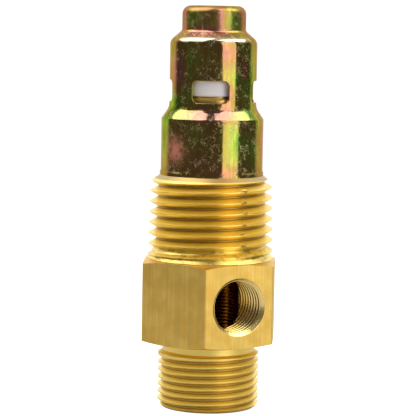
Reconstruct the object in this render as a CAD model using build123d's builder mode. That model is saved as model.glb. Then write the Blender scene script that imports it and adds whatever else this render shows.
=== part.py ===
from build123d import *
import math
import os

# In-tank check valve of an air compressor, in millimetres.
#
# A brass body screws into the tank. A tube from the pump is held in the threaded spigot below
# its hexagon, and an unloader line screws into the side port. A steel cap pressed on the other
# end guides a plastic poppet, which a spring holds down on the seat. Pumped air lifts the
# poppet and leaves through the cap's windows.
#
# Frame: the origin is the centre of the inlet end face, +Z runs along the axis to the cap, and
# the side port opens towards -Y.

# Hexagon, the part a wrench holds
hex_across_flats = 22.225
hex_height = 14.4
hex_corner_radius = 0.45
hex_chamfer_angle = 15.0
hex_face_diameter = 21.3

# Inlet spigot: 11/16-20 thread for a compression nut on 12.7 mm tube
spigot_length = 11.3
inlet_thread_diameter = 17.4
inlet_thread_pitch = 25.4 / 20
inlet_thread_depth = 0.74
inlet_root_flat = 0.18
inlet_neck_length = 1.9
inlet_neck_relief = 0.05
inlet_end_chamfer = 0.6
inlet_first_root = 0.565

# Tube socket inside the spigot
tube_diameter = 12.7
tube_clearance = 0.05
tube_socket_depth = 8.5
ferrule_seat_diameter = 14.6
ferrule_seat_depth = 1.6

# Tank thread: 1/2-14 pipe thread, tapered 1 in 16 on the diameter
tank_thread_length = 14.3
tank_thread_small_diameter = 20.71
tank_thread_taper = 1 / 16
tank_thread_pitch = 25.4 / 14
tank_thread_depth = 1.4
tank_root_flat = 0.1
tank_first_root = 1.486
tank_end_chamfer_height = 1.2
tank_runout_height = 2.6
tank_runout_sink = 0.01

# Every thread has 60 degree flanks, cut a little past the crest. Both outside threads are cut
# from the same angular start, a whole number of turns below the work.
thread_half_angle = 30.0
thread_overrun = 0.04
thread_start_angle = 153.0
thread_lead_in_turns = 2

# Bore and seat
bore_diameter = 10.0
bore_cut_overshoot = 1.0
feed_mark_pitch = 0.6
feed_mark_depth = 0.06
feed_mark_count = 22
seat_lip_width = 0.5
seat_lip_height = 0.25
nozzle_height = 13.3
nozzle_clearance = 0.12
nozzle_wall = 1.53
nozzle_edge_chamfer = 0.3
spigot_end_gap = 0.3

# Side port: 1/8-27 thread for the unloader line
port_bore_diameter = 8.76
port_thread_pitch = 25.4 / 27
port_thread_depth = 0.42
port_root_flat = 0.06
port_mouth_diameter = 9.85
port_mouth_angle = 90.0

# Steel cap, drawn from sheet. Heights are above the brass rim that it stands on.
cap_wall = 0.9
cap_skirt_diameter = 17.5
cap_cage_diameter = 14.9
cap_crown_diameter = 10.9
cap_height = 28.8
cap_skirt_height = 9.65
cap_neck_height = 11.5
cap_shoulder_height = 22.9
cap_shoulder_angle = 40.0
cap_neck_edge_radius = 0.5
cap_neck_fillet_radius = 2.5
cap_shoulder_radius = 1.6
cap_bend_spacing = 0.02
cap_crown_fillet_radius = 0.8
cap_crown_edge_radius = 1.45
cap_lip_flare = 0.15
cap_lip_height = 0.5
cap_lip_blend_height = 0.35

# Windows round the cage
window_count = 4
window_width = 6.0
window_height = 3.65
window_corner_radius = 0.9
window_edge_radius = 0.15
window_sill_height = 12.5
window_turn = -120.4

# Poppet: its stem stops it against the crown after the full lift
poppet_clearance = 0.25
poppet_lift = 3.4
poppet_height = 4.4
poppet_edge_chamfer = 0.2
poppet_top_chamfer = 0.9
poppet_stem_diameter = 5.4
poppet_stem_chamfer = 0.5
spring_pocket_depth = 1.8
spring_pocket_clearance = 0.25
stop_clearance = 0.02

# Spring: closed ends, with the open coils between them
spring_wire_diameter = 0.5
spring_crown_clearance = 0.4
spring_open_turns = 5
spring_closed_turns = 1
spring_coil_gap = 0.02
spring_end_gap = 0.02

# Heights along the axis
hex_bottom = spigot_length
hex_top = hex_bottom + hex_height
port_height = hex_bottom + hex_height / 2
rim = hex_top + tank_thread_length
nozzle_top = rim + nozzle_height
seat = nozzle_top + seat_lip_height
cap_top = rim + cap_height

# Radii that follow from the diameters above
bore_radius = bore_diameter / 2
socket_radius = tube_diameter / 2 + tube_clearance
inlet_radius = inlet_thread_diameter / 2
inlet_root_radius = inlet_radius - inlet_thread_depth
skirt_radius = cap_skirt_diameter / 2
cage_radius = cap_cage_diameter / 2
crown_radius = cap_crown_diameter / 2
cap_spigot_radius = skirt_radius - cap_wall
cage_inner_radius = cage_radius - cap_wall
crown_inner_radius = crown_radius - cap_wall
nozzle_radius = cage_inner_radius - nozzle_clearance
throat_radius = nozzle_radius - nozzle_wall
poppet_radius = cage_inner_radius - poppet_clearance
port_radius = port_bore_diameter / 2


def thread_groove(pitch, root_radius, depth, root_flat, turns, taper=0.0, inward=1):
    """A right-hand 60 degree V groove about +Z, from z = 0 up, as one solid for each turn.

    inward is 1 for a thread on a shaft, whose groove opens outwards, and -1 for one in a hole.
    The root starts at root_radius and closes in by the taper, a share of the diameter. Just
    past the crest the flanks turn parallel, so that neighbouring turns never meet."""
    flank = depth + thread_overrun
    reach = depth + pitch / 4
    half_root = root_flat / 2
    half_mouth = half_root + flank * math.tan(math.radians(thread_half_angle))
    cone_angle = -math.degrees(math.atan(taper / 2))
    grooves = []
    for turn in range(turns):
        turn_radius = root_radius - turn * pitch * taper / 2
        with BuildLine() as lead:
            Helix(pitch, pitch, turn_radius, cone_angle=cone_angle)
        with BuildPart() as groove:
            section = Plane(origin=lead.line @ 0, x_dir=(inward, 0, 0), z_dir=lead.line % 0)
            with BuildSketch(section):
                with BuildLine():
                    Polyline(
                        (0, -half_root),
                        (flank, -half_mouth),
                        (reach, -half_mouth),
                        (reach, half_mouth),
                        (flank, half_mouth),
                        (0, half_root),
                        close=True,
                    )
                make_face()
            sweep(path=lead.line, is_frenet=True)
        grooves.append(groove.part.moved(Location((0, 0, turn * pitch))))
    return grooves


# Inlet spigot: a chamfered shank with a neck under the hexagon, then its thread
neck_radius = inlet_root_radius - inlet_neck_relief
neck_bottom = hex_bottom - inlet_neck_length
inlet_groove_bottom = inlet_first_root - thread_lead_in_turns * inlet_thread_pitch
inlet_groove = thread_groove(
    inlet_thread_pitch,
    inlet_root_radius,
    inlet_thread_depth,
    inlet_root_flat,
    math.ceil((neck_bottom - inlet_groove_bottom) / inlet_thread_pitch),
)
inlet_thread_place = Location((0, 0, inlet_groove_bottom), (0, 0, thread_start_angle))

with BuildPart() as inlet_spigot:
    with BuildSketch(Plane.XZ):
        with BuildLine():
            Polyline(
                (0, 0),
                (inlet_radius - inlet_end_chamfer, 0),
                (inlet_radius, inlet_end_chamfer),
                (inlet_radius, neck_bottom),
                (neck_radius, neck_bottom + inlet_thread_depth / 2),
                (neck_radius, hex_bottom),
                (0, hex_bottom),
                close=True,
            )
        make_face()
    revolve(axis=Axis.Z)
    for groove_turn in inlet_groove:
        add(groove_turn.moved(inlet_thread_place), mode=Mode.SUBTRACT)

# Tank thread: a tapered shank with a chamfered end, its thread, and the cone where the thread
# runs out against the hexagon
tank_groove_bottom = hex_top + tank_first_root - thread_lead_in_turns * tank_thread_pitch


def tank_radius(height):
    """The tank thread's crest radius at a height along the axis."""
    return tank_thread_small_diameter / 2 + (rim - height) * tank_thread_taper / 2


tank_groove = thread_groove(
    tank_thread_pitch,
    tank_radius(tank_groove_bottom) - tank_thread_depth,
    tank_thread_depth,
    tank_root_flat,
    math.ceil((rim - tank_groove_bottom) / tank_thread_pitch),
    taper=tank_thread_taper,
)
tank_thread_place = Location((0, 0, tank_groove_bottom), (0, 0, thread_start_angle))
chamfer_bottom = rim - tank_end_chamfer_height
runout_top = hex_top + tank_runout_height

with BuildPart() as tank_shank:
    with BuildSketch(Plane.XZ):
        with BuildLine():
            Polyline(
                (0, hex_top),
                (tank_radius(hex_top), hex_top),
                (tank_radius(chamfer_bottom), chamfer_bottom),
                (skirt_radius + cap_lip_flare, rim),
                (0, rim),
                close=True,
            )
        make_face()
    revolve(axis=Axis.Z)
    for groove_turn in tank_groove:
        add(groove_turn.moved(tank_thread_place), mode=Mode.SUBTRACT)
    with BuildSketch(Plane.XZ):
        with BuildLine():
            Polyline(
                (0, hex_top),
                (tank_radius(hex_top), hex_top),
                (tank_radius(runout_top) - tank_thread_depth - tank_runout_sink, runout_top),
                (0, runout_top),
                close=True,
            )
        make_face()
    revolve(axis=Axis.Z)

# Hexagon: drawn bar with slightly round corners, both ends turned to a shallow cone
hex_face_radius = hex_face_diameter / 2
hex_reach = hex_across_flats
hex_chamfer_drop = (hex_reach - hex_face_radius) * math.tan(math.radians(hex_chamfer_angle))

with BuildPart() as hexagon:
    with BuildSketch(Plane.XY.offset(hex_bottom)) as bar_section:
        RegularPolygon(radius=hex_across_flats / 2, side_count=6, major_radius=False)
        fillet(bar_section.vertices(), radius=hex_corner_radius)
    extrude(amount=hex_height)
    with BuildSketch(Plane.XZ):
        with BuildLine():
            Polyline(
                (0, hex_bottom),
                (hex_face_radius, hex_bottom),
                (hex_reach, hex_bottom + hex_chamfer_drop),
                (hex_reach, hex_top - hex_chamfer_drop),
                (hex_face_radius, hex_top),
                (0, hex_top),
                close=True,
            )
        make_face()
    revolve(axis=Axis.Z, mode=Mode.INTERSECT)

# Neck of the cap: its slope, and where the inside of the sheet starts to lean in
neck_run = skirt_radius - cage_radius
neck_rise = cap_neck_height - cap_skirt_height
neck_slope = neck_rise / neck_run
neck_angle = math.atan2(neck_run, neck_rise)
spigot_top = rim + cap_skirt_height - cap_wall * math.tan(neck_angle / 2) - spigot_end_gap
nozzle_bottom = spigot_top + (cap_spigot_radius - nozzle_radius) * neck_slope
lip_radius = throat_radius + seat_lip_width

# Body: the turned pieces joined, with the cap's spigot and the seat on top, then bored
port_plane = Plane(origin=(0, 0, port_height), x_dir=(1, 0, 0), z_dir=(0, -1, 0))
flat_distance = hex_across_flats / 2
port_groove = thread_groove(
    port_thread_pitch,
    port_radius + port_thread_depth,
    port_thread_depth,
    port_root_flat,
    math.ceil(flat_distance / port_thread_pitch),
    inward=-1,
)
feed_marks_bottom = port_height - feed_mark_count * feed_mark_pitch / 2
feed_marks = []
for mark in range(feed_mark_count):
    mark_bottom = feed_marks_bottom + mark * feed_mark_pitch
    feed_marks.append((bore_radius, mark_bottom))
    feed_marks.append((bore_radius + feed_mark_depth, mark_bottom + feed_mark_pitch / 2))
feed_marks.append((bore_radius, feed_marks_bottom + feed_mark_count * feed_mark_pitch))

with BuildPart() as valve_body:
    add(inlet_spigot.part)
    add(hexagon.part)
    add(tank_shank.part)
    with BuildSketch(Plane.XZ):
        with BuildLine():
            Polyline(
                (0, rim),
                (cap_spigot_radius, rim),
                (cap_spigot_radius, spigot_top),
                (nozzle_radius, nozzle_bottom),
                (nozzle_radius, nozzle_top - nozzle_edge_chamfer),
                (nozzle_radius - nozzle_edge_chamfer, nozzle_top),
                (lip_radius, nozzle_top),
                (lip_radius, seat),
                (0, seat),
                close=True,
            )
        make_face()
    revolve(axis=Axis.Z)
    with BuildSketch(Plane.XZ):
        with BuildLine():
            Polyline(
                (0, -bore_cut_overshoot),
                (ferrule_seat_diameter / 2, -bore_cut_overshoot),
                (ferrule_seat_diameter / 2, 0),
                (socket_radius, ferrule_seat_depth),
                (socket_radius, tube_socket_depth),
                (bore_radius, tube_socket_depth),
                *feed_marks,
                (bore_radius, rim),
                (throat_radius, rim),
                (throat_radius, seat + bore_cut_overshoot),
                (0, seat + bore_cut_overshoot),
                close=True,
            )
        make_face()
    revolve(axis=Axis.Z, mode=Mode.SUBTRACT)
    with Locations(port_plane.offset(flat_distance)):
        CounterSinkHole(
            radius=port_radius,
            counter_sink_radius=port_mouth_diameter / 2,
            depth=flat_distance,
            counter_sink_angle=port_mouth_angle,
        )
    for groove_turn in port_groove:
        add(groove_turn.moved(port_plane.location), mode=Mode.SUBTRACT)
valve_body.part.label = "valve_body"
os.makedirs("parts", exist_ok=True)
export_step(valve_body.part, "parts/valve_body.step")

# Cap: the outer line of the drawn shell, thickened inwards by the sheet, and four windows
shoulder = rim + cap_shoulder_height
shoulder_slope = math.radians(cap_shoulder_angle)
crown_foot = shoulder + (cage_radius - crown_radius) * math.tan(shoulder_slope)
shoulder_length = (cage_radius - crown_radius) / math.cos(shoulder_slope)
bend_turn = math.tan(math.radians(90 - cap_shoulder_angle) / 2)
bend_length = (cap_shoulder_radius + cap_crown_fillet_radius) * bend_turn
shoulder_bend = min(1, shoulder_length / (bend_length + cap_bend_spacing))
lip_top = rim + cap_lip_height

with BuildPart() as cage_cap:
    with BuildSketch(Plane.XZ):
        with BuildLine():
            FilletPolyline(
                (skirt_radius + cap_lip_flare, rim),
                (skirt_radius + cap_lip_flare, lip_top),
                (skirt_radius, lip_top + cap_lip_blend_height),
                (skirt_radius, rim + cap_skirt_height),
                (cage_radius, rim + cap_neck_height),
                (cage_radius, shoulder),
                (crown_radius, crown_foot),
                (crown_radius, cap_top),
                (0, cap_top),
                radius=[
                    cap_lip_blend_height / 2,
                    cap_lip_blend_height / 2,
                    cap_neck_edge_radius,
                    cap_neck_fillet_radius,
                    cap_shoulder_radius * shoulder_bend,
                    cap_crown_fillet_radius * shoulder_bend,
                    cap_crown_edge_radius,
                ],
            )
            offset(amount=cap_wall, side=Side.LEFT)
        make_face()
    revolve(axis=Axis.Z)
    window_height_middle = rim + window_sill_height + window_height / 2
    for window in range(window_count):
        angle = math.radians(window_turn + window * 360 / window_count)
        outwards = (math.cos(angle), math.sin(angle), 0)
        across = (-math.sin(angle), math.cos(angle), 0)
        with BuildSketch(Plane(origin=(0, 0, window_height_middle), x_dir=across, z_dir=outwards)):
            RectangleRounded(window_width, window_height, window_corner_radius)
        extrude(amount=skirt_radius, mode=Mode.SUBTRACT)
    edge_tolerance = 0.01
    outer_window_edges = [
        edge
        for edge in cage_cap.edges()
        if abs(math.hypot((edge @ 0.5).X, (edge @ 0.5).Y) - cage_radius) < edge_tolerance
        and abs((edge @ 0.5).Z - window_height_middle) < window_height / 2 + edge_tolerance
    ]
    fillet(outer_window_edges, radius=window_edge_radius)
cage_cap.part.label = "cage_cap"
export_step(cage_cap.part, "parts/cage_cap.step")

# Poppet: a plastic disc that seals on the lip, with a pocket and a stem for the spring
crown_ceiling = cap_top - cap_wall
poppet_top = seat + poppet_height
pocket_floor = poppet_top - spring_pocket_depth
stem_top = crown_ceiling - poppet_lift - stop_clearance
spring_outer_radius = crown_inner_radius - spring_crown_clearance
pocket_radius = spring_outer_radius + spring_pocket_clearance
stem_radius = poppet_stem_diameter / 2
poppet_rim_wall = poppet_radius - pocket_radius
top_chamfer = min(poppet_top_chamfer, poppet_rim_wall / 2)

with BuildPart() as poppet:
    with BuildSketch(Plane.XZ):
        with BuildLine():
            Polyline(
                (0, seat),
                (poppet_radius - poppet_edge_chamfer, seat),
                (poppet_radius, seat + poppet_edge_chamfer),
                (poppet_radius, poppet_top - top_chamfer),
                (poppet_radius - top_chamfer, poppet_top),
                (pocket_radius, poppet_top),
                (pocket_radius, pocket_floor),
                (stem_radius, pocket_floor),
                (stem_radius, stem_top - poppet_stem_chamfer),
                (stem_radius - poppet_stem_chamfer, stem_top),
                (0, stem_top),
                close=True,
            )
        make_face()
    revolve(axis=Axis.Z)
poppet.part.label = "poppet"
export_step(poppet.part, "parts/poppet.step")

# Spring: round wire along a coil whose pitch opens after the closed end and shuts again
wire_radius = spring_wire_diameter / 2
coil_radius = spring_outer_radius - wire_radius
coil_bottom = pocket_floor + spring_end_gap + wire_radius
coil_top = crown_ceiling - spring_end_gap - wire_radius
closed_pitch = spring_wire_diameter + spring_coil_gap
coil_turns = spring_open_turns + 2 * spring_closed_turns
steps_per_turn = 16


def coil_opening(turn):
    """How far the coil is open at a turn: 0 in the closed ends, 1 between, half a turn apart."""
    from_end = min(turn, coil_turns - turn) - spring_closed_turns
    return min(max(2 * from_end, 0), 1)


coil_steps = [(step + 0.5) / steps_per_turn for step in range(coil_turns * steps_per_turn)]
open_turns = sum(coil_opening(turn) for turn in coil_steps) / steps_per_turn
open_pitch = (coil_top - coil_bottom - closed_pitch * coil_turns) / open_turns
coil_height = coil_bottom
coil_points = [(coil_radius, 0, coil_height)]
for step, turn in enumerate(coil_steps, start=1):
    coil_height += (closed_pitch + open_pitch * coil_opening(turn)) / steps_per_turn
    angle = math.tau * step / steps_per_turn
    coil_points.append((coil_radius * math.cos(angle), coil_radius * math.sin(angle), coil_height))

with BuildPart() as spring:
    with BuildLine() as coil:
        Spline(coil_points)
    with BuildSketch(Plane(origin=coil.line @ 0, z_dir=coil.line % 0)):
        Circle(wire_radius)
    sweep(path=coil.line, is_frenet=True)
spring.part.label = "spring"
export_step(spring.part, "parts/spring.step")
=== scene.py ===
import bmesh
import bpy
import math
from mathutils import Euler, Matrix, Vector


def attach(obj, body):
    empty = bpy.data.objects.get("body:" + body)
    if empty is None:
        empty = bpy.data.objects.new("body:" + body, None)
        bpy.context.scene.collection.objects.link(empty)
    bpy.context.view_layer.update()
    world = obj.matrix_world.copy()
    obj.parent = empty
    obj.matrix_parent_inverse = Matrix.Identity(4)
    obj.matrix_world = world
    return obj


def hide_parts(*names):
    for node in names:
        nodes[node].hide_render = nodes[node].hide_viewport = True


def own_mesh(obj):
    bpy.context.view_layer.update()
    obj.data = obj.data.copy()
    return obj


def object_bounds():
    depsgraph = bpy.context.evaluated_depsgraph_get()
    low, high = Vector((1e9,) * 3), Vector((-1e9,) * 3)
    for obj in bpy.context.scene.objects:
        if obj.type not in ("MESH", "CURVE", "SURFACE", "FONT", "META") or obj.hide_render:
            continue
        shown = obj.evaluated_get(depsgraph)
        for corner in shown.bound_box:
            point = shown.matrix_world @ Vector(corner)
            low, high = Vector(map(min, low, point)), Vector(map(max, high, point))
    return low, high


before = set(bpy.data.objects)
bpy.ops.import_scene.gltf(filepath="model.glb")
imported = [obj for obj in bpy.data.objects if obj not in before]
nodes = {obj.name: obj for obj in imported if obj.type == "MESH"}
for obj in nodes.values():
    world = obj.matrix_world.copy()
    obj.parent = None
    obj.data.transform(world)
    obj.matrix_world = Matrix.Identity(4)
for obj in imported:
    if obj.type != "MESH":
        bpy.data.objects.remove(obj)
cad_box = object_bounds()
lowest = cad_box[0].z

# Camera: a long lens a little above the valve's middle, turned so that the side port is on
# the right. The valve leans slightly to the right in the view.
view_turn = math.radians(-27.0)
view_distance = 0.330
view_height = 0.067
view_roll = math.radians(1.02)
aim_height = 0.0342
aim_left = 0.0005
towards_camera = Vector((math.sin(view_turn), -math.cos(view_turn), 0))
view_right = Vector((math.cos(view_turn), math.sin(view_turn), 0))

camera = bpy.data.objects.new("camera", bpy.data.cameras.new("camera"))
bpy.context.scene.collection.objects.link(camera)
camera.location = towards_camera * view_distance + Vector((0, 0, view_height))
aim = Vector((0, 0, aim_height)) - view_right * aim_left
look = (aim - camera.location).to_track_quat("-Z", "Y").to_matrix()
camera.rotation_euler = (look @ Euler((0, 0, view_roll)).to_matrix()).to_euler()
camera.data.lens = 167.0
camera.data.sensor_width = 36.0
bpy.context.scene.camera = camera
bpy.context.scene.view_settings.view_transform = "Standard"


# Table: a plain pale round table top that the valve stands on. It is matt, and small enough
# that the cap's wall reflects the room past its edge.
def new_piece(name, bm):
    mesh = bpy.data.meshes.new(name)
    bm.to_mesh(mesh)
    bm.free()
    piece = bpy.data.objects.new(name, mesh)
    bpy.context.scene.collection.objects.link(piece)
    return piece


def new_material(name, **settings):
    material = bpy.data.materials.new(name)
    material.use_nodes = True
    shader = material.node_tree.nodes["Principled BSDF"]
    for socket, value in settings.items():
        shader.inputs[socket.replace("_", " ")].default_value = value
    return material, material.node_tree, shader


def fill(tree, socket, value):
    if isinstance(value, bpy.types.NodeSocket):
        tree.links.new(value, socket)
    else:
        socket.default_value = value


def calc(tree, operation, first, second=0.5, third=0.5):
    node = tree.nodes.new("ShaderNodeMath")
    node.operation = operation
    for socket, value in zip(node.inputs, (first, second, third)):
        fill(tree, socket, value)
    return node.outputs[0]


table_radius = 0.26
table_sides = 128
table_gap = 0.00005
table_grey = (0.48, 0.48, 0.48, 1)
table_roughness = 0.8
table_glow = 0.85
bm = bmesh.new()
bmesh.ops.create_circle(bm, cap_ends=True, segments=table_sides, radius=table_radius)
bmesh.ops.translate(bm, verts=bm.verts, vec=(0, 0, lowest - table_gap))
table = new_piece("table", bm)
table_top, tree, shader = new_material("pale_table_top", Base_Color=table_grey,
                                        Roughness=table_roughness)
seen = tree.nodes.new("ShaderNodeLightPath").outputs["Is Camera Ray"]
shader.inputs["Emission Color"].default_value = (1, 1, 1, 1)
tree.links.new(calc(tree, "MULTIPLY", seen, table_glow), shader.inputs["Emission Strength"])
table.data.materials.append(table_top)


# Studio lights: one soft box low on the right, whose edges show in the plated steel as a
# bright band, and two overhead panels with a dark gap between them in front.
def soft_box(name, right, away, height, facing, turn, width, tall, brightness):
    lamp = bpy.data.lights.new(name, "AREA")
    lamp.shape = "RECTANGLE"
    lamp.size = width
    lamp.size_y = tall
    lamp.energy = math.pi * width * tall * brightness
    light = bpy.data.objects.new(name, lamp)
    bpy.context.scene.collection.objects.link(light)
    light.location = view_right * right - towards_camera * away + Vector((0, 0, height))
    beam = view_right * facing[0] - towards_camera * facing[1] + Vector((0, 0, facing[2]))
    aimed = beam.to_track_quat("-Z", "Y").to_matrix()
    light.rotation_euler = (aimed @ Euler((0, 0, math.radians(turn))).to_matrix()).to_euler()


down = (0, 0, -1)
to_valve = (-0.47, 0.52, -0.16)
soft_box("low_box", right=0.47, away=-0.52, height=0.26, facing=to_valve, turn=0,
         width=0.50, tall=0.66, brightness=2.25)
soft_box("left_panel", right=-0.53, away=0.03, height=0.64, facing=down, turn=-158,
         width=0.62, tall=1.0, brightness=2.8)
soft_box("right_panel", right=0.48, away=-0.04, height=0.64, facing=down, turn=-64,
         width=0.46, tall=0.87, brightness=2.8)


# Room: a white wall behind the valve and a grey ceiling towards the back. It is dark in front,
# and plain white to the camera.
def smooth_step(tree, value, low, high):
    node = tree.nodes.new("ShaderNodeMapRange")
    node.interpolation_type = "SMOOTHSTEP"
    for name, setting in (("Value", value), ("From Min", low), ("From Max", high)):
        fill(tree, node.inputs[name], setting)
    return node.outputs["Result"]


def product(tree, first, *others):
    for other in others:
        first = calc(tree, "MULTIPLY", first, other)
    return first


dark_room = 0.125
ceiling = 0.8
ceiling_rise = (0.25, 0.55)
ceiling_front = (-0.28, 0.02)
backdrop = 1.1
backdrop_edge = (0.30, 0.62)
world = bpy.data.worlds.new("room")
bpy.context.scene.world = world
world.use_nodes = True
tree = world.node_tree
outwards = tree.nodes.new("ShaderNodeTexCoord").outputs["Generated"]
facing = tree.nodes.new("ShaderNodeVectorMath")
facing.operation = "DOT_PRODUCT"
tree.links.new(outwards, facing.inputs[0])
facing.inputs[1].default_value = -towards_camera
away = facing.outputs["Value"]
axes = tree.nodes.new("ShaderNodeSeparateXYZ")
tree.links.new(outwards, axes.inputs[0])
rise = smooth_step(tree, axes.outputs["Z"], *ceiling_rise)
overhead = product(tree, rise, smooth_step(tree, away, *ceiling_front), ceiling)
behind = product(tree, smooth_step(tree, away, *backdrop_edge), backdrop)
seen = tree.nodes.new("ShaderNodeLightPath").outputs["Is Camera Ray"]
brightness = calc(tree, "MAXIMUM", calc(tree, "MAXIMUM", overhead, behind), dark_room)
brightness = calc(tree, "MAXIMUM", brightness, seen)
grey = tree.nodes.new("ShaderNodeCombineColor")
for channel in grey.inputs:
    tree.links.new(brightness, channel)
tree.links.new(grey.outputs[0], tree.nodes["Background"].inputs["Color"])


# Valve body: one brass turning. The hexagon keeps the long marks of the drawn bar, and all else
# has rings from the lathe, down to the feed marks in the bore. The tank thread has a few stains
# and nicks above the hexagon. Light and shade are painted too: the brass outside the hexagon and
# the port walls brighter, the thread roots, port grooves, rim and bore darker, and highlights on
# the hexagon's bevel and in the bore.
def mix_color(tree, factor, first, second):
    node = tree.nodes.new("ShaderNodeMix")
    node.data_type = "RGBA"
    fill(tree, node.inputs[0], factor)
    fill(tree, node.inputs[6], first)
    fill(tree, node.inputs[7], second)
    return node.outputs[2]


def stretch(tree, vector, scale, turn=(0, 0, 0)):
    node = tree.nodes.new("ShaderNodeMapping")
    fill(tree, node.inputs["Vector"], vector)
    node.inputs["Scale"].default_value = scale
    node.inputs["Rotation"].default_value = turn
    return node.outputs[0]


def noise(tree, vector, scale, detail=2.0, roughness=0.5, distortion=0.0):
    node = tree.nodes.new("ShaderNodeTexNoise")
    for name, value in (("Vector", vector), ("Scale", scale), ("Detail", detail),
                        ("Roughness", roughness), ("Distortion", distortion)):
        fill(tree, node.inputs[name], value)
    return node.outputs["Fac"]


def millimetres(tree):
    return stretch(tree, tree.nodes.new("ShaderNodeTexCoord").outputs["Object"], (1000, 1000, 1000))


def reach(tree, first, second):
    squares = calc(tree, "ADD", product(tree, first, first), product(tree, second, second))
    return calc(tree, "SQRT", squares)


def split_place(tree, place):
    axes = tree.nodes.new("ShaderNodeSeparateXYZ")
    tree.links.new(place, axes.inputs[0])
    x, y, z = axes.outputs
    return x, y, z, reach(tree, x, y)


def within(tree, value, low, high, edge):
    rising = smooth_step(tree, value, low - edge, low + edge)
    falling = smooth_step(tree, value, high + edge, high - edge)
    return product(tree, rising, falling)


def outside(tree, mask):
    return calc(tree, "SUBTRACT", 1.0, mask)


def bump(tree, height, distance, shader):
    node = tree.nodes.new("ShaderNodeBump")
    node.inputs["Distance"].default_value = distance
    fill(tree, node.inputs["Height"], height)
    tree.links.new(node.outputs["Normal"], shader.inputs["Normal"])


def paint(piece, material):
    piece.data.materials.clear()
    piece.data.materials.append(material)


# Some of these colours are painted light and shade: the brighter thread and port brass, the darker rim,
# bore, feed marks, thread roots and grooves, and the highlights on the hexagon's bevel and in the bore.
brass_light = (0.90, 0.60, 0.145, 1)
brass_deep = (0.80, 0.50, 0.10, 1)
brass_stain_and_shade = (0.24, 0.13, 0.03, 1)
brass_dull = (0.56, 0.37, 0.10, 1)
brass_thread_light = (0.98, 0.75, 0.20, 1)
brass_bore_shade = (0.58, 0.28, 0.045, 1)
brass_bore_highlight = (1.0, 0.78, 0.28, 1)
brass_feed_mark_shade = (0.14, 0.065, 0.012, 1)
brass_bevel_highlight = (1.0, 0.84, 0.46, 1)
brass_port_light = (1.0, 0.75, 0.28, 1)
brass_rim_shade = (0.47, 0.34, 0.13, 1)
# The body's own sizes, in mm, as its masks use them. A pair is the two sides of a band, or where
# a mask starts and where it is whole.
hexagon_heights = (11.3, 25.7)
hexagon_walls = (10.0, 11.0)
hexagon_corners = (10.95, 11.2)
bevel_heights = (25.6, 27.0)
bore_radius = 5.0
bore_wall = (5.3, 5.2)
bore_edge = (6.0, 7.0)
feed_mark_depth = 0.04
port_height = 18.5
port_mouth_radius = 4.93
port_groove = (4.48, 4.68)
port_walls = (6.0, 9.0)
port_thread_end = (-10.75, -10.5)
port_side = (-1.0, 0.0)
far_side = (0.0, 1.0)
rim_height = 40.0
rim_face = (39.25, 39.45)
tank_crest_at_rim = 10.355
tank_taper = 1 / 32
tank_root_depth = (0.95, 1.40)
tank_root_heights = (26.3, 39.2)
inlet_crest = 8.70
inlet_root_depth = (0.45, 0.76)
inlet_top = (9.5, 9.3)
neck_top = 27.9
bore_highlight_span = (2.75, 3.35)
nick_band = (0.5, 1.7)
nick_front = (-8.0, -9.0)
nick_depth = (0.7, 0.3)
nick_heights = (26.7, 27.7)
sharp = 0.05
fine = 0.1
crisp = 0.2
soft = 0.3
# How strongly each tone shows, and the noise values between which each patch begins and is whole.
thread_light_strength = 0.85
root_shade_strength = 0.60
neck_strength = 0.55
groove_shade_strength = 0.8
nick_strength = 0.75
streak_strength = 0.30
highlight_clears_shade = 0.8
deeper_tone = (0.35, 0.65)
stain_patches = (0.50, 0.62)
nick_patches = (0.50, 0.56)
streak_lines = (0.60, 0.42)
# Finish: the height of the marks, how deep a nick and a ring are beside the drawn lines, and how
# rough the metal is.
mark_height = 0.00005
nick_relief = 1.5
ring_relief = 0.3
turned_roughness = 0.34
drawn_extra = 0.06
bore_polish = 0.12
port_polish = 0.08

brass, tree, shader = new_material("turned_brass", Metallic=1.0)
place = millimetres(tree)
x, y, z, radius = split_place(tree, place)
port_radius = reach(tree, x, calc(tree, "SUBTRACT", z, port_height))
past_mouth = smooth_step(tree, port_radius, port_mouth_radius - sharp, port_mouth_radius + sharp)
outside_port = calc(tree, "MAXIMUM", smooth_step(tree, y, *port_side), past_mouth)
on_hexagon = within(tree, z, *hexagon_heights, sharp)
on_flats = product(tree, on_hexagon, outside_port, smooth_step(tree, radius, *hexagon_walls))
tank_crest = calc(tree, "SUBTRACT", rim_height, z)
tank_crest = calc(tree, "MULTIPLY_ADD", tank_crest, tank_taper, tank_crest_at_rim)
tank_depth = calc(tree, "SUBTRACT", tank_crest, radius)
in_tank_root = product(tree, smooth_step(tree, tank_depth, *tank_root_depth),
                       within(tree, z, *tank_root_heights, crisp))
inlet_depth = calc(tree, "SUBTRACT", inlet_crest, radius)
in_inlet_root = product(tree, smooth_step(tree, inlet_depth, *inlet_root_depth),
                        smooth_step(tree, z, *inlet_top))
outside_bore = smooth_step(tree, radius, *bore_edge)
in_root = product(tree, calc(tree, "MAXIMUM", in_tank_root, in_inlet_root), outside_bore)
in_threads = product(tree, outside(tree, on_hexagon), outside_bore)
in_bore = smooth_step(tree, radius, *bore_wall)
in_port = product(tree, outside(tree, outside_port), outside(tree, in_bore))

# Its tone, with painted light on the threads, painted shade in their roots and on the rim, and stains at
# the neck.
tone = noise(tree, place, scale=0.35, detail=4.0)
color = mix_color(tree, smooth_step(tree, tone, *deeper_tone), brass_light, brass_deep)
# Painted light: all the brass outside the hexagon and the bore is painted brighter.
color = mix_color(tree, product(tree, in_threads, thread_light_strength), color, brass_thread_light)
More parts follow.
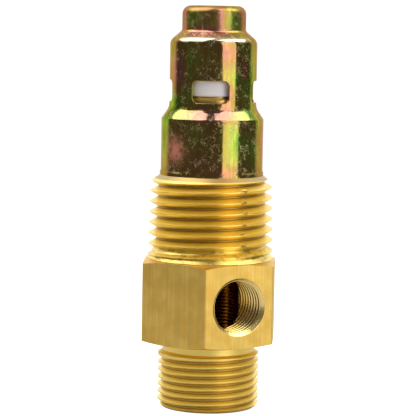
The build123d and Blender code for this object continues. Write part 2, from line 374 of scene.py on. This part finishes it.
# Painted shade in the thread roots.
color = mix_color(tree, product(tree, in_root, root_shade_strength), color, brass_stain_and_shade)
at_neck = within(tree, z, hexagon_heights[1], neck_top, crisp)
stains = noise(tree, stretch(tree, place, (1, 1, 2)), scale=0.55, detail=5.0, roughness=0.7)
stains = product(tree, at_neck, smooth_step(tree, stains, *stain_patches))
color = mix_color(tree, product(tree, stains, neck_strength), color, brass_stain_and_shade)
# Painted shade on the rim's top face, under the cap's skirt.
at_rim = smooth_step(tree, z, *rim_face)
color = mix_color(tree, product(tree, at_rim, outside_bore), color, brass_rim_shade)

# The bore, painted darker as shade and darker still in its feed marks, and a painted highlight as one
# streak on its far wall.
marked_wall = (bore_radius, bore_radius + feed_mark_depth)
feed_mark = product(tree, in_bore, smooth_step(tree, radius, *marked_wall))
# Painted highlight: a bright streak on the bore's far wall, set across the view, that also clears the
# painted shade there.
across = calc(tree, "MULTIPLY_ADD", y, view_right.y, product(tree, x, view_right.x))
bore_highlight = product(tree, within(tree, across, *bore_highlight_span, soft), smooth_step(tree, y, *far_side))
feed_mark_shade = product(tree, feed_mark, calc(tree, "MULTIPLY_ADD", bore_highlight, -highlight_clears_shade, 1.0))
# Painted shade: the bore darker inside, and darker still in its feed-mark grooves.
color = mix_color(tree, in_bore, color, brass_bore_shade)
color = mix_color(tree, product(tree, bore_highlight, in_bore), color, brass_bore_highlight)
color = mix_color(tree, feed_mark_shade, color, brass_feed_mark_shade)

# The side port, its walls painted brighter as light and its thread grooves darker as painted shade, and a
# painted highlight on the bevel on top of the hexagon.
# Painted shade in the port's thread grooves.
in_groove = smooth_step(tree, port_radius, *port_groove)
in_groove = product(tree, in_groove, in_port, smooth_step(tree, y, *port_thread_end))
# Painted light: the port walls are painted brighter.
color = mix_color(tree, product(tree, in_port, smooth_step(tree, radius, *port_walls)), color, brass_port_light)
color = mix_color(tree, product(tree, in_groove, groove_shade_strength), color, brass_stain_and_shade)
# Painted highlight on the bevel on top of the hexagon.
bevel_highlight = product(tree, smooth_step(tree, radius, *hexagon_corners),
                  within(tree, z, *bevel_heights, fine))
color = mix_color(tree, bevel_highlight, color, brass_bevel_highlight)

# A line of nicks up the tank thread's crests, and the drawn bar's lines on the flats.
chips = smooth_step(tree, noise(tree, place, scale=1.3, detail=3.0), *nick_patches)
nicked = product(tree, chips, within(tree, x, *nick_band, soft), smooth_step(tree, y, *nick_front),
                 smooth_step(tree, tank_depth, *nick_depth), smooth_step(tree, z, *nick_heights))
color = mix_color(tree, product(tree, nicked, nick_strength), color, brass_stain_and_shade)
drawn_lines = noise(tree, stretch(tree, place, (1, 1, 0.015)), scale=2.6, detail=4.0, roughness=0.7)
streak = product(tree, smooth_step(tree, drawn_lines, *streak_lines), on_flats)
color = mix_color(tree, product(tree, streak, streak_strength), color, brass_dull)
tree.links.new(color, shader.inputs["Base Color"])

rings = noise(tree, stretch(tree, place, (0.03, 0.03, 1)), scale=6.0, detail=2.0, roughness=0.6)
marks = product(tree, rings, calc(tree, "MULTIPLY_ADD", on_flats, -ring_relief, ring_relief))
marks = calc(tree, "MULTIPLY_ADD", nicked, -nick_relief, marks)
marks = calc(tree, "MULTIPLY_ADD", drawn_lines, on_flats, marks)
bump(tree, marks, mark_height, shader)
rough = calc(tree, "MULTIPLY_ADD", on_flats, drawn_extra, turned_roughness)
rough = calc(tree, "MULTIPLY_ADD", in_bore, -bore_polish, rough)
rough = calc(tree, "MULTIPLY_ADD", in_port, -port_polish, rough)
tree.links.new(rough, shader.inputs["Roughness"])
paint(nodes["valve_body"], brass)

# Cap: a shell drawn from steel sheet, zinc plated, dipped in yellow chromate and pressed on the
# body. The film is bronze, green where it drained thin and pink where it ran thick. It dried
# hazy in places, painted lighter pink there as light, and handling has left fine scratches. A
# pale zinc band on the shoulder's front is a painted highlight.
film_colors = (
    (0.00, (0.06, 0.14, 0.015, 1)),
    (0.14, (0.14, 0.38, 0.03, 1)),
    (0.26, (0.33, 0.47, 0.06, 1)),
    (0.38, (0.45, 0.38, 0.08, 1)),
    (0.50, (0.42, 0.28, 0.07, 1)),
    (0.62, (0.50, 0.25, 0.10, 1)),
    (0.74, (0.60, 0.24, 0.17, 1)),
    (0.88, (0.42, 0.12, 0.16, 1)),
    (1.00, (0.17, 0.05, 0.10, 1)),
)
film_deep = (0.17, 0.105, 0.018, 1)
# The haze colour below is matt film, partly painted light in its lighter pink.
haze_painted_light = (0.92, 0.33, 0.24, 1)
film_scratch = (0.66, 0.57, 0.36, 1)
# The zinc colour below is mostly a painted highlight on the shoulder's front.
zinc_and_highlight = (0.72, 0.67, 0.54, 1)
film_sheen = (0.74, 0.62, 0.42, 1)
# Each run of the film: turn from the view, height in mm, half its turn and height, and how much
# thicker it is than the rest.
film_runs = (
    (-40, 66.4, 22, 1.8, -0.36),
    (38, 65.2, 20, 2.2, -0.26),
    (13, 66.4, 8, 2.2, 0.34),
    (-72, 66.6, 12, 3.0, 0.45),
    (-20, 68.3, 30, 0.5, 0.24),
    (72, 66.0, 12, 3.0, 0.34),
    (-24, 64.4, 40, 1.0, 0.34),
    (40, 64.2, 30, 0.6, 0.20),
    (-68, 60.8, 16, 2.4, -0.14),
    (-54, 57.4, 13, 3.2, 0.34),
    (-30, 59.5, 12, 2.0, -0.20),
    (-20, 54.2, 14, 1.6, -0.22),
    (-60, 53.0, 22, 2.2, -0.40),
    (20, 61.0, 11, 1.5, 0.22),
    (24, 54.6, 5, 1.3, 0.20),
    (31, 56.2, 8, 2.2, -0.36),
    (17, 53.5, 9, 2.8, 0.18),
    (54, 56.5, 15, 6.5, -0.36),
    (48, 58.2, 8, 1.8, 0.56),
    (-60, 50.5, 14, 1.1, -0.30),
    (-12, 50.5, 18, 1.2, 0.30),
    (15, 50.5, 15, 1.2, 0.26),
    (50, 50.5, 16, 1.1, -0.24),
    (-70, 47.0, 14, 4.5, -0.38),
    (-46, 44.2, 11, 2.0, 0.30),
    (-22, 47.2, 12, 1.6, -0.22),
    (-14, 42.6, 12, 1.4, 0.16),
    (1, 44.5, 3, 3.5, 0.18),
    (27, 46.2, 13, 3.8, -0.34),
    (14, 40.8, 16, 1.0, 0.20),
    (50, 45.0, 12, 3.0, -0.24),
    (40, 48.2, 8, 0.9, 0.16),
    (78, 46.0, 10, 6.0, 0.24),
)
# Each hazy patch, where the film dried rough and is painted a lighter pink as light, with its numbers in
# the same order.
hazes_and_light = (
    (-45, 44.6, 13, 2.3, 0.90),
    (-60, 57.6, 7, 2.6, 0.25),
    (40, 45.5, 8, 2.0, 0.12),
)
film_variation = 0.6
film_grain = 0.12
deep_amount = 0.45
shoulder_highlight = (62.75, 63.5)
worn_skirt = (49.6, 51.3)
worn_and_lit_front = (-54, 54)
worn_and_lit_fade = 14
shoulder_highlight_strength = 0.5
skirt_strength = 0.10
pool_patches = (0.36, 0.64)
drip_lines = (0.44, 0.56)
haze_and_light_spread = (0.30, 0.55)
scratch_strength = 0.75
scratch_depth = 0.000004
film_roughness = 0.10
scratch_roughness = 0.34
haze_roughness = 0.5
crown_roughness = 0.19
crown_bend = (64.0, 65.2)
scratch_wander = (1.6, 1.6, 1.6)
scratch_width = (0.04, 0.01)
scratch_cover = (0.97, 1.08)


def new_group(name, inputs, output):
    group = bpy.data.node_groups.new(name, "ShaderNodeTree")
    for socket, kind, value in inputs:
        made = group.interface.new_socket(name=socket, in_out="INPUT", socket_type=kind)
        if value is not None:
            made.default_value = value
    group.interface.new_socket(name=output, in_out="OUTPUT", socket_type="NodeSocketFloat")
    result = group.nodes.new("NodeGroupOutput").inputs[output]
    return group, group.nodes.new("NodeGroupInput").outputs, result


def use_group(tree, group, **values):
    node = tree.nodes.new("ShaderNodeGroup")
    node.node_tree = group
    for socket, value in values.items():
        fill(tree, node.inputs[socket.replace("_", " ")], value)
    return node.outputs[0]


number = "NodeSocketFloat"
film_run, given, result = new_group("film_run", (
    ("Turn", number, 0.0),
    ("Height", number, 0.0),
    ("Run turn", number, 0.0),
    ("Run height", number, 0.0),
    ("Half turn", number, 1.0),
    ("Half height", number, 1.0),
    ("Amount", number, 0.0),
    ("Film", number, 0.0),
), "Film")
from_turn = calc(film_run, "SUBTRACT", given["Turn"], given["Run turn"])
from_height = calc(film_run, "SUBTRACT", given["Height"], given["Run height"])
spread = reach(film_run, calc(film_run, "DIVIDE", from_turn, given["Half turn"]),
               calc(film_run, "DIVIDE", from_height, given["Half height"]))
share = calc(film_run, "EXPONENT", product(film_run, spread, spread, -1.0))
film_run.links.new(calc(film_run, "MULTIPLY_ADD", share, given["Amount"], given["Film"]), result)

hairlines, given, result = new_group("fine_scratches", (
    ("Place", "NodeSocketVector", None),
    ("Spacing", number, 1.0),
    ("Amount", number, 0.5),
), "Mask")
wander = hairlines.nodes.new("ShaderNodeTexNoise")
hairlines.links.new(given["Place"], wander.inputs["Vector"])
wander.inputs["Scale"].default_value = 1.1
wander.inputs["Detail"].default_value = 3.0
curled = hairlines.nodes.new("ShaderNodeVectorMath")
curled.operation = "MULTIPLY_ADD"
hairlines.links.new(wander.outputs["Color"], curled.inputs[0])
curled.inputs[1].default_value = scratch_wander
hairlines.links.new(given["Place"], curled.inputs[2])
cells = hairlines.nodes.new("ShaderNodeTexVoronoi")
cells.feature = "DISTANCE_TO_EDGE"
hairlines.links.new(curled.outputs[0], cells.inputs["Vector"])
hairlines.links.new(given["Spacing"], cells.inputs["Scale"])
line = smooth_step(hairlines, cells.outputs["Distance"], *scratch_width)
patchy = noise(hairlines, given["Place"], scale=0.9, detail=5.0, roughness=0.8)
kept = smooth_step(hairlines, calc(hairlines, "ADD", patchy, given["Amount"]), *scratch_cover)
hairlines.links.new(product(hairlines, line, kept), result)


def lay_film(tree, film, runs, turn, height):
    for run_turn, run_height, half_turn, half_height, amount in runs:
        film = use_group(tree, film_run, Turn=turn, Height=height, Film=film, Amount=amount,
                         Run_turn=run_turn, Run_height=run_height,
                         Half_turn=half_turn, Half_height=half_height)
    return film


chromate, tree, shader = new_material("yellow_chromate", Metallic=1.0, Specular_Tint=film_sheen)
place = millimetres(tree)
faced = stretch(tree, place, (1, 1, 1), turn=(0, 0, -view_turn))
x, y, z, _ = split_place(tree, faced)
turn = calc(tree, "DEGREES", calc(tree, "ARCTAN2", x, product(tree, y, -1.0)))
film = noise(tree, stretch(tree, place, (1, 1, 0.5)), scale=0.35, detail=4.0, distortion=0.8)
film = calc(tree, "MULTIPLY_ADD", film, film_variation, 0.5 - film_variation / 2)
film = lay_film(tree, film, film_runs, turn, z)
grain = noise(tree, stretch(tree, place, (1, 1, 0.3)), scale=3.0, detail=3.0)
film = calc(tree, "MULTIPLY_ADD", calc(tree, "SUBTRACT", grain, 0.5), film_grain, film)
ramp = tree.nodes.new("ShaderNodeValToRGB")
tree.links.new(film, ramp.inputs[0])
stops = ramp.color_ramp.elements
stops.remove(stops[0])
stops[0].position, stops[0].color = film_colors[0]
for position, shade in film_colors[1:]:
    stop = stops.new(position)
    stop.color = shade
pools = noise(tree, stretch(tree, place, (1, 1, 0.6)), scale=0.55, detail=5.0, roughness=0.6)
drips = noise(tree, stretch(tree, place, (1, 1, 0.10)), scale=1.7, detail=4.0, roughness=0.7)
thin = product(tree, smooth_step(tree, pools, *pool_patches), smooth_step(tree, drips, *drip_lines))
deep = calc(tree, "MULTIPLY_ADD", thin, -deep_amount, deep_amount)
color = mix_color(tree, deep, ramp.outputs[0], film_deep)
# Painted highlight: a pale zinc band on the shoulder's front, with a faint worn band on the skirt.
worn_and_highlight = product(tree, within(tree, z, *worn_skirt, soft), skirt_strength)
on_shoulder = within(tree, z, *shoulder_highlight, 0.25)
worn_and_highlight = calc(tree, "MULTIPLY_ADD", on_shoulder, shoulder_highlight_strength, worn_and_highlight)
worn_and_highlight = product(tree, worn_and_highlight, within(tree, turn, *worn_and_lit_front, worn_and_lit_fade))
color = mix_color(tree, worn_and_highlight, color, zinc_and_highlight)
crackle = noise(tree, place, scale=1.6, detail=5.0, roughness=0.8)
# Partly painted light: the hazy patches are matt film, painted a lighter pink.
haze_and_light = lay_film(tree, 0.0, hazes_and_light, turn, z)
haze_and_light = product(tree, haze_and_light, smooth_step(tree, crackle, *haze_and_light_spread))
color = mix_color(tree, haze_and_light, color, haze_painted_light)
long_scratches = use_group(tree, hairlines, Place=place, Spacing=1.2, Amount=0.46)
short_scratches = use_group(tree, hairlines, Place=place, Spacing=2.4, Amount=0.48)
scratched = calc(tree, "MAXIMUM", long_scratches, short_scratches)
color = mix_color(tree, product(tree, scratched, scratch_strength), color, film_scratch)
tree.links.new(color, shader.inputs["Base Color"])
rough = calc(tree, "MULTIPLY_ADD", scratched, scratch_roughness, film_roughness)
on_crown = smooth_step(tree, z, *crown_bend)
rough = calc(tree, "MULTIPLY_ADD", on_crown, crown_roughness, rough)
rough = calc(tree, "MULTIPLY_ADD", haze_and_light, haze_roughness, rough)
tree.links.new(rough, shader.inputs["Roughness"])
bump(tree, product(tree, scratched, -1.0), scratch_depth, shader)
paint(nodes["cage_cap"], chromate)

# Poppet: a white disc of PTFE, turned, that seals on the brass lip. It slides inside the cap,
# and its stem guides the spring.
ptfe_white = (0.97, 0.92, 0.91, 1)
ptfe_shade = (0.90, 0.85, 0.84, 1)
ptfe_roughness = 0.45
ptfe_ring_height = 0.00002
ptfe, tree, shader = new_material("white_ptfe", Roughness=ptfe_roughness)
place = millimetres(tree)
clouds = noise(tree, place, scale=0.8, detail=3.0)
tree.links.new(mix_color(tree, clouds, ptfe_white, ptfe_shade), shader.inputs["Base Color"])
rings = noise(tree, stretch(tree, place, (0.05, 0.05, 1)), scale=7.0, detail=2.0)
bump(tree, rings, ptfe_ring_height, shader)
paint(nodes["poppet"], ptfe)

# Spring: a coil of stainless wire, with one closed turn at each end and five open turns
# between. Its top turn is held in the crown of the cap, and its bottom turn rides the poppet.
wire_bright = (0.66, 0.64, 0.61, 1)
wire_dull = (0.50, 0.48, 0.45, 1)
wire_roughness = 0.15
wire_dull_roughness = 0.2
wire_radius = 0.00025
coil_radius = 0.00390
coil_bottom = 0.05642
coil_top = 0.06763
closed_pitch = 0.00052
coil_turns = 7
wire_sides = 12
steps_per_turn = 48


def coil_opening(turn):
    return min(max(2 * (min(turn, coil_turns - turn) - 1), 0), 1)


coil_steps = [(step + 0.5) / steps_per_turn for step in range(coil_turns * steps_per_turn)]
open_turns = sum(coil_opening(turn) for turn in coil_steps) / steps_per_turn
open_pitch = (coil_top - coil_bottom - closed_pitch * coil_turns) / open_turns
step_angle = math.tau / steps_per_turn
bm = bmesh.new()
bmesh.ops.create_circle(bm, segments=wire_sides, radius=wire_radius)
bmesh.ops.rotate(bm, verts=bm.verts, matrix=Matrix.Rotation(math.radians(90), 3, "X"))
bmesh.ops.translate(bm, verts=bm.verts, vec=(coil_radius, 0, coil_bottom))
ring = bm.edges[:]
for turn in coil_steps:
    climb = (0, 0, (closed_pitch + open_pitch * coil_opening(turn)) / steps_per_turn)
    spun = bmesh.ops.spin(bm, geom=ring, axis=(0, 0, 1), dvec=climb, angle=step_angle, steps=1)
    ring = [part for part in spun["geom_last"] if isinstance(part, bmesh.types.BMEdge)]
bmesh.ops.holes_fill(bm, edges=[edge for edge in bm.edges if edge.is_boundary])
bmesh.ops.recalc_face_normals(bm, faces=bm.faces)
for face in bm.faces:
    face.smooth = len(face.verts) == 4
coil = new_piece("spring_coil", bm)
spring_wire, tree, shader = new_material("spring_wire", Metallic=1.0)
place = millimetres(tree)
drawn = noise(tree, stretch(tree, place, (1, 1, 4)), scale=2.0, detail=3.0)
tree.links.new(mix_color(tree, drawn, wire_bright, wire_dull), shader.inputs["Base Color"])
rough = calc(tree, "MULTIPLY_ADD", drawn, wire_dull_roughness, wire_roughness)
tree.links.new(rough, shader.inputs["Roughness"])
coil.data.materials.append(spring_wire)
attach(coil, "valve")
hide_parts("spring")
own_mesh(coil)
